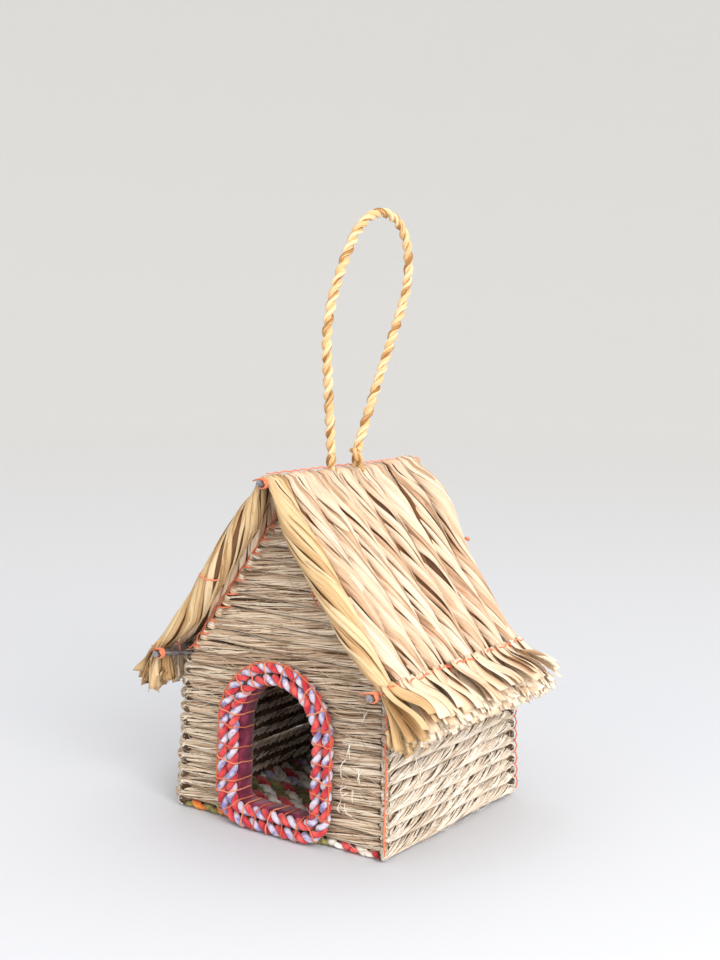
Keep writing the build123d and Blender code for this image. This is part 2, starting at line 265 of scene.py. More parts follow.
def evenly(line, step, closed=False):
    """The same line, with its stations a step apart."""
    if closed:
        line = np.vstack([line, line[:1]])
    run = np.concatenate([[0.0], np.cumsum(np.linalg.norm(np.diff(line, axis=0), axis=1))])
    stations = np.linspace(0, run[-1], max(4, int(run[-1] / step)))
    smooth = np.stack([np.interp(stations, run, line[:, axis]) for axis in range(3)], -1)
    return smooth[:-1] if closed else smooth


def around(line, out, angle, across_size, out_size, closed=False):
    """Points about a line at an angle, and the way that each faces. Angle 0 is across, 90° is out."""
    if closed:
        along = unit(np.roll(line, -1, axis=0) - np.roll(line, 1, axis=0))
    else:
        along = unit(np.gradient(line, axis=0))
    across = unit(np.cross(np.broadcast_to(out, line.shape), along))
    facing = np.cross(along, across)
    cos, sin = np.cos(angle)[:, None], np.sin(angle)[:, None]
    across_size = np.broadcast_to(across_size, len(line))[:, None]
    out_size = np.broadcast_to(out_size, len(line))[:, None]
    place = line + across * cos * across_size + facing * sin * out_size
    normal = unit(across * cos * out_size + facing * sin * across_size + 1e-6)
    return place, normal


def fibre_group():
    """Grain that runs along each strand: a random tone for it, streaks, fine lines and stains."""
    group = bpy.data.node_groups.new("fibre_grain", "ShaderNodeTree")
    for name in ("Around", "Along", "Fine"):
        group.interface.new_socket(name, in_out="INPUT", socket_type="NodeSocketFloat")
    for name in ("Strand", "Streaks", "Lines", "Stain"):
        group.interface.new_socket(name, in_out="OUTPUT", socket_type="NodeSocketFloat")
    inlet, outlet = group.nodes.new("NodeGroupInput"), group.nodes.new("NodeGroupOutput")
    layer = add_node(group, "UVMap", uv_map="fibre")
    split = add_node(group, "SeparateXYZ", {"Vector": layer.outputs["UV"]})
    number = add_node(group, "Math", {0: split.outputs["X"]}, operation="FLOOR")
    tone = add_node(group, "TexWhiteNoise", {"W": number.outputs[0]}, noise_dimensions="1D")
    group.links.new(tone.outputs["Value"], outlet.inputs["Strand"])

    def times(first, second):
        return add_node(group, "Math", {0: first, 1: second}, operation="MULTIPLY").outputs[0]

    wide = times(split.outputs["X"], inlet.outputs["Around"])
    far = times(split.outputs["Y"], inlet.outputs["Along"])
    fineness = inlet.outputs["Fine"]
    for name, finer, longer in (("Streaks", 1.0, 1.0), ("Lines", fineness, 1.0), ("Stain", 0.35, 0.8)):
        spot = {"X": times(wide, finer), "Y": times(far, longer), "Z": tone.outputs["Value"]}
        place = add_node(group, "CombineXYZ", spot).outputs[0]
        noise = add_node(group, "TexNoise", {"Vector": place, "Scale": 1.0, "Detail": 3.0, "Roughness": 0.6})
        group.links.new(noise.outputs["Fac"], outlet.inputs[name])
    return group


fibre_grain = fibre_group()


def grain_node(tree, around_scale, along_scale, fine):
    """The fibre grain at its scales: cycles round a strand, cycles per mm along it, and finer lines."""
    node = add_node(tree, "Group", node_tree=fibre_grain)
    for name, value in (("Around", around_scale), ("Along", along_scale), ("Fine", fine)):
        node.inputs[name].default_value = value
    return node


def color_ramp(tree, value, colors, places, interpolation="LINEAR"):
    """The colour that goes with a value: each colour has its place between 0 and 1."""
    ramp = add_node(tree, "ValToRGB", {"Fac": value})
    ramp.color_ramp.interpolation = interpolation
    stops = ramp.color_ramp.elements
    stops[0].position, stops[-1].position = places[0], places[-1]
    stops[0].color, stops[-1].color = colors[0], colors[-1]
    for place, color in zip(places[1:-1], colors[1:-1]):
        stops.new(place).color = color
    return ramp.outputs["Color"]


def raise_surface(tree, shader, height, strength, distance):
    """Relief from a height; its distance is in millimetres."""
    bump = add_node(tree, "Bump", {"Height": height, "Strength": strength, "Distance": distance * mm})
    tree.links.new(bump.outputs["Normal"], shader.inputs["Normal"])


def fibre_material(name, tones, around_scale, along_scale, fine, roughness, relief, sheen=0.0,
                   stain=None, mix=(0.55, 0.35, 0.10)):
    """A fibre finish: tones from dark to pale by strand and streak, with fine raised lines."""
    material, tree, shader = new_finish(name, roughness, 0.3)
    grain = grain_node(tree, around_scale, along_scale, fine)
    total = 0.0
    for output, share in zip(("Strand", "Streaks", "Lines"), mix):
        terms = {0: grain.outputs[output], 1: share, 2: total}
        total = add_node(tree, "Math", terms, operation="MULTIPLY_ADD").outputs[0]
    color = color_ramp(tree, total, tones, np.linspace(0.22, 0.72, len(tones)))
    if stain is not None:
        stain_color, threshold = stain
        edge = add_node(tree, "MapRange", {
            "Value": grain.outputs["Stain"],
            "From Min": threshold,
            "From Max": threshold + 0.15,
            "To Max": 0.8,
        })
        color = blend_colors(tree, edge.outputs["Result"], color, stain_color)
    tree.links.new(color, shader.inputs["Base Color"])
    if sheen:
        shader.inputs["Sheen Weight"].default_value = sheen
        shader.inputs["Sheen Roughness"].default_value = 0.5
    streaks, lines = grain.outputs["Streaks"], grain.outputs["Lines"]
    height = add_node(tree, "Math", {0: streaks, 1: lines}, operation="ADD")
    raise_surface(tree, shader, height.outputs[0], *relief)
    return material


rope_honey = fibre_material(
    "rope_honey", (srgb(160, 112, 62), srgb(208, 164, 108), srgb(228, 190, 138), srgb(240, 212, 168)),
    around_scale=4.0, along_scale=0.09, fine=4.0, roughness=0.55, relief=(0.8, 0.35),
    stain=(srgb(176, 120, 66), 0.60),
)


def seagrass_ply(fibres, ply, radial, ply_radius, lay, step, closed):
    """One ply: leaf strips twisted round its middle, against the rope's own lay."""
    count, strips = len(ply), 4
    run = np.arange(count) * step
    for number in range(strips):
        angle = 2 * math.pi * number / strips - 2 * math.pi * run / lay
        if not closed:
            angle = angle + wander(count, count // 25, 0.25)
        place, normal = around(ply, radial, angle, ply_radius * 0.62, ply_radius * 0.62, closed)
        fibres.strand(place, normal, ply_radius * rng.uniform(1.0, 1.5), ply_radius * 0.8, closed=closed)


def seagrass_rope(fibres, line, out, diameter, lay, closed=False, step=1.0):
    """Two plies laid right-handed about a line."""
    line = evenly(line, step, closed)
    count = len(line)
    run = np.arange(count) * step
    if closed:
        run = np.arange(count) / count * max(1, round(count * step / lay)) * lay
    for start in (0.0, math.pi):
        angle = start + 2 * math.pi * run / lay
        if not closed:
            angle = angle + wander(count, count // 40, 0.12)
        ply, radial = around(line, out, angle, diameter * 0.235, diameter * 0.235, closed)
        fibres.strand(ply, radial, diameter * 0.52, diameter * 0.52, 8, closed=closed)
        seagrass_ply(fibres, ply, radial, diameter * 0.28, lay * 3.2, step, closed)


loop_diameter, loop_lay = 6.0, 14.5
hitch_front, hitch_back, loop_foot = -25.0, 0.5, 213.4
loop_points = (
    (hitch_front, loop_foot), (-29.0, 249.0), (-33.0, 290.0), (-13.0, 331.0), (4.0, 350.0),
    (28.0, 355.5), (49.0, 342.0), (53.0, 313.0), (36.0, 281.0), (17.0, 247.0), (hitch_back, loop_foot),
)
route_curve = bpy.data.curves.new("loop_route", "CURVE")
route_curve.dimensions = "3D"
route_curve.resolution_u = 24
spline = route_curve.splines.new("NURBS")
spline.points.add(len(loop_points) - 1)
for point, (y, z) in zip(spline.points, loop_points):
    point.co = (0.0, y * mm, z * mm, 1.0)
spline.order_u = 3
spline.use_endpoint_u = True
route_object = bpy.data.objects.new("loop_route", route_curve)
bpy.context.collection.objects.link(route_object)
route_mesh = bpy.data.meshes.new_from_object(route_object)
loop_line = np.array([vertex.co[:] for vertex in route_mesh.vertices]) / mm
bpy.data.objects.remove(route_object)
bpy.data.meshes.remove(route_mesh)

rope = Fibres()
seagrass_rope(rope, loop_line, (1.0, 0.0, 0.0), loop_diameter, loop_lay)
hanging_rope = rope.piece("hanging_rope", "loop", "seagrass_rope", [rope_honey], ["hanging_loop"])

# Each leg takes one tight turn round the ridge rod, and the back leg's short cut end stands up
# beside it.
ridge_height, hitch_major, hitch_diameter, hitch_lay = 202.0, 3.3, 4.4, 11.0
hitches = Fibres()
turn_angles = full_turn(90)
for middle in (hitch_front, hitch_back):
    ring = points(
        hitch_major * np.cos(turn_angles),
        middle,
        ridge_height + hitch_major * np.sin(turn_angles),
    )
    seagrass_rope(hitches, ring, (0.0, 1.0, 0.0), hitch_diameter, hitch_lay, closed=True, step=0.6)
    stub = np.array([(-1.0, middle, 204.0), (0.0, middle, 210.0), (0.0, middle, 213.0)])
    seagrass_rope(hitches, stub, (1.0, 0.0, 0.0), loop_diameter, loop_lay, step=0.8)
cut_end = np.array([(2.0, 0.5, 205.5), (4.0, -2.5, 209.0), (3.6, -5.5, 212.5), (2.2, -7.5, 215.5)])
seagrass_rope(hitches, cut_end, (1.0, 0.0, 0.3), 4.8, 16.0, step=0.8)
hitches.piece("rope_hitches", "house", "seagrass_rope", [rope_honey], ["loop_hitches"])

# ---------------------------------------------------------------------------------------------
# The walls are courses of loosely twisted jute, stitched one above another round the wire
# frame. The yarn is hand-spun, so courses bulge, drift and part here and there.
# ---------------------------------------------------------------------------------------------
body_half_width, body_half_depth, wall_lean = 75.0, 72.0, 0.033
floor_thickness, course_pitch = 5.0, 7.5
side_courses, gable_courses = 12, 11
eave_height, eave_reach = 96.0, 75.5
roof_angle = math.atan2(ridge_height - eave_height, eave_reach)
apex_height = 187.9
door_half, door_crown = 33.0, 59.5
wall_reach = 4.6  # half of a course's depth
side_foot, side_pitch = 0.7, 7.85
front_lay, side_lay = -170.0, -72.0  # length of one turn of the yarn's twist

# The two jute finishes below are one yarn at two brightnesses, with light painted in: the front wall has the
# darker one, and the paler one, made for the brightly lit right wall, covers the back and both side walls.
jute_front = fibre_material(
    "jute_front", (srgb(150, 116, 88), srgb(206, 177, 146), srgb(230, 207, 179), srgb(245, 231, 210)),
    around_scale=5.0, along_scale=0.07, fine=5.0, roughness=0.8, relief=(0.9, 0.3), sheen=0.15,
)
jute_painted_light = fibre_material(
    "jute_painted_light", (srgb(190, 162, 136), srgb(236, 217, 194), srgb(249, 236, 218), srgb(255, 247, 234)),
    around_scale=5.0, along_scale=0.07, fine=5.0, roughness=0.8, relief=(0.9, 0.3), sheen=0.15,
)
# A dark copy of the jute: painted shade, for the cores that show between strands and the faces that look
# into the house.
jute_painted_shade = fibre_material(
    "jute_painted_shade", (srgb(62, 47, 36), srgb(92, 72, 55), srgb(118, 95, 74)),
    around_scale=5.0, along_scale=0.07, fine=5.0, roughness=0.95, relief=(0.6, 0.3),
)
thread_white = fibre_material(
    "thread_white", (srgb(214, 202, 182), srgb(240, 232, 216), srgb(250, 246, 236)),
    around_scale=3.0, along_scale=0.4, fine=2.0, roughness=0.8, relief=(0.4, 0.1),
)


def course_middle(number):
    return floor_thickness + (number + 0.5) * course_pitch


def jute_course(fibres, start, end, inward, ends, lay, fuzz=16):
    """One course between two points on the wall's face; ends says mitred or round at each."""
    strands = 42
    start, end, inward = (np.array(value, dtype=float) for value in (start, end, inward))
    length = np.linalg.norm(end - start)
    middle_run = np.linspace(4.5, length - 4.5, max(3, int(length / 4.2) - 1))
    run = np.concatenate([[0.0, 1.0, 2.4], middle_run, [length - 2.4, length - 1.0, length]])
    count = len(run)
    along = (end - start) / length
    half_depth = np.full(count, wall_reach) + wander(count, int(length / 14) + 2, 0.25)
    half_height = 3.72 + wander(count, int(length / 12) + 2, 0.25)
    for kind, distance in zip(ends, (run, length - run)):
        if kind == "mitre":
            half_depth = np.minimum(half_depth, 1.5 + 0.5 * distance)
            knuckle = np.clip(distance / 3.0, 0.0, 1.0)
            half_height = half_height * (0.45 + 0.55 * np.sqrt(1 - (1 - knuckle) ** 2))
        else:
            close = np.clip(distance / 4.5, 0.0, 1.0)
            round_off = np.sqrt(np.clip(1 - (1 - close) ** 2, 0.03, 1.0))
            half_depth, half_height = half_depth * round_off, half_height * (0.25 + 0.75 * round_off)
    drift = wander(count, int(length / 22) + 2, 0.45)
    line = start + run[:, None] * along + inward * half_depth[:, None]
    line[:, 2] += drift
    core = slice(1, -1)
    # The core takes the dark finish, painted shade in the gaps between strands; its end pieces keep the
    # plain jute.
    shade = np.ones(count - 2, dtype=int)
    shade[[0, -1]] = 0
    fibres.strand(line[core], -inward, 2 * half_height[core] - 1.5, 2 * half_depth[core] - 1.3, 8, shade)
    for number in range(strands):
        angle = (2 * math.pi * (number + rng.uniform(-0.3, 0.3)) / strands + 2 * math.pi * run / lay
                 + wander(count, int(length / 18) + 3, 0.30))
        loose = wander(count, int(length / 14) + 3, 0.22)
        place, normal = around(line, -inward, angle, half_height - 0.35 + loose, half_depth - 0.4 + loose)
        place[:, 2] = np.maximum(place[:, 2], 0.9)
        narrow = np.clip(half_depth / wall_reach, 0.35, 1.0)
        # Strands are painted with shade where they face the inside of the house, which lies in shadow.
        inside = (normal @ inward > 0.75).astype(int)
        width, thickness = rng.uniform(0.5, 1.3) * narrow, rng.uniform(0.5, 0.9) * narrow
        fibres.strand(place, normal, width, thickness, 4, inside)
    for _ in range(int(fuzz * length / 100)):
        centre, reach = rng.uniform(4, length - 4), rng.uniform(6, 22)
        span = np.linspace(-0.5, 0.5, 9)
        lift = rng.uniform(0.3, 2.2) * np.cos(span * math.pi)
        rise = rng.uniform(-3.4, 3.4) + span * rng.uniform(-8, 8) + wander(9, 3, 0.6)
        hair = start + np.outer(np.clip(centre + span * reach, 1, length - 1), along)
        hair = hair - np.outer(lift - 0.4, inward)
        hair[:, 2] = np.maximum(hair[:, 2] + rise, 0.4)
        fibres.strand(hair, -inward, rng.uniform(0.18, 0.4), 0.22, 3)


def inside_door(height):
    """Half the gap in a course where the doorway passes through it."""
    if height < 12.0:
        return 24.0
    over = height - door_crown
    return door_half if over <= 0 else math.sqrt(max(door_half ** 2 - over ** 2, 0.0))


def face_spot(across, height, face):
    return across, face * (body_half_depth - wall_lean * height), height


for face, label, jute, slot in ((-1, "front", jute_front, "jute_front"), (1, "back", jute_painted_light, "jute")):
    inward = (0.0, -face, 0.0)
    wall = Fibres()
    for number in range(side_courses):
        height = course_middle(number)
        half = body_half_width - wall_lean * height + 0.4
        gap = inside_door(height) if face == -1 else 0.0
        if gap > 4.0:
            spans = ((-half, -gap, ("mitre", "round")), (gap, half, ("round", "mitre")))
        else:
            spans = ((-half, half, ("mitre", "mitre")),)
        for low, high, ends in spans:
            if face == -1 and low == -half:
                low -= rng.uniform(0.8, 2.8)  # the yarn bulges where it turns the left corner
            start, end = face_spot(low, height, face), face_spot(high, height, face)
            jute_course(wall, start, end, inward, ends, front_lay)
    wall.piece(f"{label}_jute_wall", "house", slot, [jute, jute_painted_shade], [f"{label}_wall"])

    gable = Fibres()
    for number in range(side_courses, side_courses + gable_courses):
        height = course_middle(number)
        half = (apex_height - height) / math.tan(roof_angle) + 2.6
        start, end = face_spot(-half, height, face), face_spot(half, height, face)
        jute_course(gable, start, end, inward, ("round", "round"), front_lay)
        # A turn of yarn goes round the rafter wire at each end of the course.
        for side in (-1, 1):
            x, y, z = face_spot(side * (half - 2.6), height, face)
            for shift in (-2.0, -0.7, 0.7, 2.0):
                swing = full_turn(14)
                loop = points(
                    x + side * (2.6 * np.cos(swing) + 0.4) - side * shift * math.cos(roof_angle) * 0.9,
                    y - face * (wall_reach - 4.9 * np.sin(swing)),
                    z + shift * math.sin(roof_angle) * 1.3 + 1.2 * np.cos(swing),
                )
                hub = loop.mean(axis=0)
                gable.strand(loop, unit(loop - hub), 1.7, 1.0, 5, closed=True)
    gable.piece(f"{label}_jute_gable", "house", slot, [jute, jute_painted_shade], [f"{label}_gable"])

for side, label in ((-1, "left"), (1, "right")):
    wall = Fibres()
    for number in range(side_courses):
        # The side walls hang down past the edge of the mat, so their courses are a little taller.
        height = side_foot + (number + 0.5) * side_pitch
        x = side * (body_half_width - wall_lean * height)
        half = body_half_depth - wall_lean * height + 0.4
        start, end = (x, -half * side, height), (x, half * side, height)
        jute_course(wall, start, end, (-side, 0.0, 0.0), ("mitre", "mitre"), side_lay, fuzz=18)
    wall.piece(f"{label}_jute_wall", "house", "jute", [jute_painted_light, jute_painted_shade], [f"{label}_wall"])

# A few natural stitches cross the courses where one length of yarn is joined to the next.
joins = Fibres()
for face, across, height in ((-1, 52.0, 33.0), (-1, 49.0, 58.0), (-1, 58.0, 78.0), (-1, 56.0, 45.0),
                             (1, -20.0, 60.0), (1, 35.0, 30.0), (1, 5.0, 82.0)):
    for lean in (rng.uniform(-0.4, 0.0), rng.uniform(0.6, 1.2)):
        span = np.linspace(-1, 1, 9)
        x, y, z = face_spot(across, height, face)
        stitch = points(
            x + lean * 1.4 * span + wander(9, 3, 0.3),
            y + face * (0.9 * np.cos(span * 1.4) - 0.1),
            z + rng.uniform(3.4, 4.8) * span,
        )
        joins.strand(stitch, (0.0, face, 0.0), 0.5, 0.4, 5)
for side, across, height in ((1, -42.0, 50.0), (1, -38.0, 42.0), (1, 12.0, 66.0), (1, 40.0, 30.0),
                             (-1, -30.0, 62.0), (-1, 25.0, 34.0)):
    for lean in (-1, 1):
        span = np.linspace(-1, 1, 9)
        x = side * (body_half_width - wall_lean * height)
        bow = side * (0.9 * np.cos(span * 1.4) - 0.1)
        stitch = points(x + bow, across + lean * 1.8 * span, height + 5.0 * span)
        joins.strand(stitch, (side, 0.0, 0.0), 0.5, 0.4, 5)
for number in range(14):
    # Loose ends of fibre stand out beside the doorway.
    x, y, z = face_spot(rng.uniform(41.5, 47.0), rng.uniform(22.0, 66.0), -1)
    span = np.linspace(0, 1, 9)
    loose = points(
        x + rng.uniform(2, 7) * span + wander(9, 4, 0.8),
        y - 3.2 * np.sin(span * 2.8) - 0.3,
        z + rng.uniform(-11, 8) * span + wander(9, 4, 0.8),
    )
    joins.strand(loose, (0.0, -1.0, 0.1), 0.45, 0.4, 5)
joins.piece("joining_stitches", "house", "thread", [thread_white])

# ---------------------------------------------------------------------------------------------
# The roof is a row of nine rolls of dry seagrass leaf, each twisted left-handed and laid over
# the ridge rod and both eave rods. They are sewn flat at the ridge and drawn in at the eaves.
# ---------------------------------------------------------------------------------------------
slope_length = 130.1
roof_front, roof_length, roll_count = 88.5, 153.0, 9
roll_pitch = roof_length / roll_count
leaf_lay = 130.0
leaf_ends, whole_ends = 40, 22  # at each end of a roll; the rest are crumpled shreds
loose_stations = 11  # along each loose leaf end
slope_along = np.array([math.cos(roof_angle), 0.0, -math.sin(roof_angle)])
slope_out = np.array([math.sin(roof_angle), 0.0, math.cos(roof_angle)])
ridge_top = np.array([0.0, 0.0, ridge_height])

leaf = fibre_material(
    "seagrass_leaf", (srgb(122, 78, 46), srgb(200, 162, 128), srgb(227, 201, 173), srgb(240, 223, 201)),
    around_scale=3.0, along_scale=0.035, fine=9.0, roughness=0.5, relief=(1.0, 0.55),
    stain=(srgb(196, 136, 98), 0.58), mix=(0.28, 0.42, 0.30),
)
leaf_straw = fibre_material(
    "seagrass_straw", (srgb(126, 84, 44), srgb(196, 157, 108), srgb(218, 188, 142), srgb(234, 212, 176)),
    around_scale=3.0, along_scale=0.035, fine=9.0, roughness=0.5, relief=(1.0, 0.55),
    stain=(srgb(184, 128, 80), 0.59), mix=(0.28, 0.42, 0.30),
)
# A dark copy of the leaf: painted shade, for the roll cores and the furrows between the rolls.
leaf_painted_shade = fibre_material(
    "seagrass_painted_shade", (srgb(70, 42, 24), srgb(104, 68, 42), srgb(134, 94, 62)),
    around_scale=3.0, along_scale=0.035, fine=5.0, roughness=0.8, relief=(0.6, 0.4),
)
leaf_cut = fibre_material(
    "seagrass_cut", (srgb(178, 136, 96), srgb(228, 201, 170), srgb(244, 226, 202), srgb(252, 240, 223)),
    around_scale=3.0, along_scale=0.035, fine=9.0, roughness=0.5, relief=(0.8, 0.35),
    mix=(0.30, 0.35, 0.35),
)

# Distance down the slope, lift above the rods' line, half thickness and half width of a roll.
roll_shape = np.array([
    (0.0, 3.4, 1.5, 8.2), (6.0, 2.9, 2.4, 8.3), (14.3, 2.0, 4.6, 8.4), (28.6, 0.4, 7.2, 8.5),
    (65.0, 0.2, 7.5, 8.5), (101.5, 0.4, 7.0, 8.5), (116.0, 2.3, 4.9, 8.2), (125.0, 4.2, 3.2, 7.4),
    (slope_length, 4.9, 2.4, 6.8), (134.0, 4.9, 2.6, 7.2),
])


def over_roof(signed, lift, y):
    """Points over the roof at signed distances; the ridge is rounded over its rod."""
    side = np.sign(signed)
    flat = ridge_top + np.abs(signed)[:, None] * slope_along + lift[:, None] * slope_out
    place = flat.copy()
    soft = np.clip(np.abs(signed) / 7.0, 0.0, 1.0)
    crest = ridge_height + lift
    place[:, 0] = side * (flat[:, 0] * soft + (1 - soft) * np.abs(signed) * 0.92)
    place[:, 2] = flat[:, 2] * soft + (1 - soft) * (crest - 0.03 * signed ** 2)
    place[:, 1] = y
    return place


def fringe_path(side, back, layer):
    """One loose leaf end, from its eave rod outward and down; layer 0 lies on top."""
    steps = np.linspace(0, 1, loose_stations)
    if side == 1:
        reach = rng.uniform(34, 41) - 2.0 * (layer == 0)
        droop = math.radians(rng.uniform(56, 68) - 22 * back + 9 * layer - 8)
        arch = rng.uniform(0.15, 0.7) if layer == 0 else rng.uniform(-0.1, 0.3)
    else:
        reach = rng.uniform(28, 34) - 2.0 * (layer == 0)
        droop = math.radians(rng.uniform(66, 92) + 4 * layer)
        arch = rng.uniform(-0.1, 0.4)
    root = ridge_top + 124.0 * slope_along + (6.6, 4.8, 3.8)[layer] * slope_out
    bend = np.clip((steps - 0.12) / 0.5, 0, 1)
    heading = roof_angle * (1 - bend) + droop * bend - arch * np.sin(steps * math.pi) * 0.9
    heading = heading + wander(loose_stations, 4, 0.09)
    across = root[0] + np.cumsum(np.cos(heading)) * reach / loose_stations
    down = np.cumsum(np.sin(heading)) * reach / loose_stations
    return points(side * across, 0.0, root[2] - down)


# Signed distances over the roof, from the left eave across the ridge to the right one.
signed = np.linspace(-roll_shape[-1, 0], roll_shape[-1, 0], 83)
count = len(signed)
for number in range(roll_count):
    middle = -roof_front + (number + 0.5) * roll_pitch
    lift, half_t, half_w = (np.interp(np.abs(signed), roll_shape[:, 0], roll_shape[:, k]) for k in (1, 2, 3))
    # The row is a little closer at the ridge than at the eaves, and sinks a little to the back.
    inland = np.clip(1 - np.abs(signed) / slope_length, 0.0, 1.0)
    sway = -roof_front + (middle + roof_front) * (1 - 0.025 * inland) + wander(count, 9, 0.7)
    lift = lift - (0.7 + 1.6 * number / roll_count) * inland ** 6
    if number >= roll_count - 2:
        # The last two rolls stand up where they come off the ridge.
        share = 1.0 if number == roll_count - 1 else 0.55
        lift = lift + 7.5 * np.exp(-((np.abs(signed) - 30) / 25) ** 2) * share
    line = over_roof(signed, lift, sway)
    half_t = half_t + wander(count, 16, 0.35)
    out = unit(np.cross(unit(np.gradient(line, axis=0)), (0.0, 1.0, 0.0)))
    out = np.where(out[:, 2:] < 0, -out, out)
    roll = Fibres()
    if 0 < number < roll_count - 1:
        # A flat dark band joins the roll to its neighbours deep in the furrows: painted shade, in the dark
        # leaf finish.
        roll.strand(line, out, 2 * half_w + 0.4, np.maximum(2 * half_t - 6.0, 1.0), 10, finish=1)
    # The core under the strips has the dark finish too, painted shade that shows between them.
    roll.strand(line, out, 2 * half_w - 4.0, 2 * half_t - 2.6, 10, finish=1)
    run = signed - signed[0]
    strips = 14
    for strip in range(strips):
        angle = (2 * math.pi * (strip + rng.uniform(-0.25, 0.25)) / strips - 2 * math.pi * run / leaf_lay
                 + number * 1.7 + wander(count, 14, 0.16))
        loose = wander(count, 22, 0.28)
        place, normal = around(line, out, angle, half_w - 1.4 + loose, np.maximum(half_t - 0.7 + loose, 1.2))
        tip = unit(np.gradient(line, axis=0))
        tilt = 0.20 + wander(count, 14, 0.14)
        leaning = normal * np.cos(tilt)[:, None] + np.cross(tip, normal) * np.sin(tilt)[:, None]
        squeeze = np.clip(half_t / 6.0, 0.55, 1.0)
        width = (rng.uniform(2.4, 4.8) + wander(count, 16, 0.6)) * (0.6 + 0.4 * squeeze)
        roll.strand(place, leaning, width, rng.uniform(0.9, 1.5) * squeeze, 8)
    for strip in range(10):
        # Narrow split leaf lies along the roll's surface here and there.
        first = rng.integers(2, count - 26)
        piece_count = rng.integers(14, 24)
        part = slice(first, first + piece_count)
        angle = rng.uniform(0.2, 2.9) - 2 * math.pi * run[:piece_count] / leaf_lay * rng.uniform(0.6, 1.3)
        place, normal = around(line[part], out[part], angle, half_w[part] + 0.1, half_t[part] + 0.25)
        fade = np.sin(np.linspace(0.05, math.pi - 0.05, piece_count)) ** 0.5
        roll.strand(place, normal, rng.uniform(0.8, 2.6) * fade, 0.6 * fade, 6)
    finish = [leaf_straw, leaf_painted_shade, leaf_straw] if number == 0 else [leaf, leaf_painted_shade, leaf_cut]

    # Below each eave rod the leaf ends are left loose and trimmed: wide leaves on top, which
    # arch over, narrower ones under them, and a crumpled cut edge.
    for side in (-1, 1):
        for strip in range(leaf_ends):
            layer = 0 if strip < 4 else 1 if strip < 12 else 2
            path = fringe_path(side, (middle + roof_front) / roof_length, layer)
            spread = (strip - 1.5) / 1.7 if layer == 0 else rng.uniform(-1.0, 1.0)
            spread = spread + rng.uniform(-0.12, 0.12)
            steps = np.linspace(0, 1, loose_stations)
            path[:, 1] = middle + spread * (5.0 + 4.5 * steps ** 0.8) + wander(loose_stations, 4, 0.4)
            lean = rng.uniform(0.05, 0.35) if layer == 0 else rng.uniform(-0.4, 0.4)
            face_out = np.array([side * math.sin(roof_angle), lean, math.cos(roof_angle)])
            facing = unit(face_out + np.outer(wander(loose_stations, 3, 0.2), (0.0, 1.0, 0.0)))
            wide = rng.uniform(8.5, 13.0) if layer == 0 else rng.uniform(3.6, 7.6)
            if strip < whole_ends:
                roll.strand(path, facing, wide * (0.5 + 0.5 * steps ** 0.5), rng.uniform(0.4, 0.7), 8, 2)
            else:
                crumple = path[7:] + rng.normal(0, 0.8, (4, 3))
                roll.strand(crumple, unit(rng.normal(size=3)), rng.uniform(2.5, 6.0), 0.6, 6, 2)
    roll.piece(f"seagrass_roll_{number + 1}", "house", "seagrass_leaf", finish, [f"roof_roll_{number + 1}"])

# ---------------------------------------------------------------------------------------------
# A rag cord edges the doorway: two plies of torn cotton, one red and one printed, laid
# right-handed and taken round twice. Orange thread sews both rounds to the wall and the lining.
# ---------------------------------------------------------------------------------------------
outline_half, outline_sill, outline_corner = 33.5, 7.5, 12.0
rag_diameter, rag_lay, rag_stand = 7.0, 12.3, 4.0
wall_out = np.array([0.0, -1.0, wall_lean]) / math.hypot(1.0, wall_lean)
wall_up = np.array([0.0, wall_lean, 1.0]) / math.hypot(1.0, wall_lean)
wall_foot = np.array([0.0, -body_half_depth, 0.0])


def cotton(name, colors, scale, places=None):
    """Torn cotton: a plain weave in fine relief, with its printed or faded colours."""
    if places is None:
        places = np.linspace(0.34, 0.64, len(colors))
    material, tree, shader = new_finish(name, 0.85, 0.25)
    spot = add_node(tree, "TexCoord").outputs["Object"]
    patches = add_node(tree, "TexNoise", {"Vector": spot, "Scale": scale, "Detail": 2.0})
    color = color_ramp(tree, patches.outputs["Fac"], colors, places, "EASE")
    tree.links.new(color, shader.inputs["Base Color"])
    weave = add_node(tree, "TexNoise", {"Vector": spot, "Scale": 2600.0})
    creases = grain_node(tree, 3.0, 0.35, 3.0).outputs["Streaks"]
    height = add_node(tree, "Math", {0: weave.outputs["Fac"], 1: 0.4, 2: creases}, operation="MULTIPLY_ADD")
    raise_surface(tree, shader, height.outputs[0], 0.8, 0.5)
    shader.inputs["Sheen Weight"].default_value = 0.25
    return material


rag_red = cotton("rag_red", (srgb(184, 44, 56), srgb(210, 66, 72), srgb(228, 96, 92)), 160.0)
rag_print = cotton(
    "rag_print",
    (srgb(138, 130, 180), srgb(172, 166, 202), srgb(200, 194, 214), srgb(214, 208, 218),
     srgb(208, 172, 186)),
    210.0, (0.36, 0.44, 0.50, 0.62, 0.68),
)
thread_orange = fibre_material(
    "thread_orange", (srgb(190, 88, 54), srgb(214, 112, 74), srgb(230, 140, 102)),
    around_scale=2.0, along_scale=1.2, fine=1.5, roughness=0.7, relief=(0.5, 0.12), sheen=0.2,
)


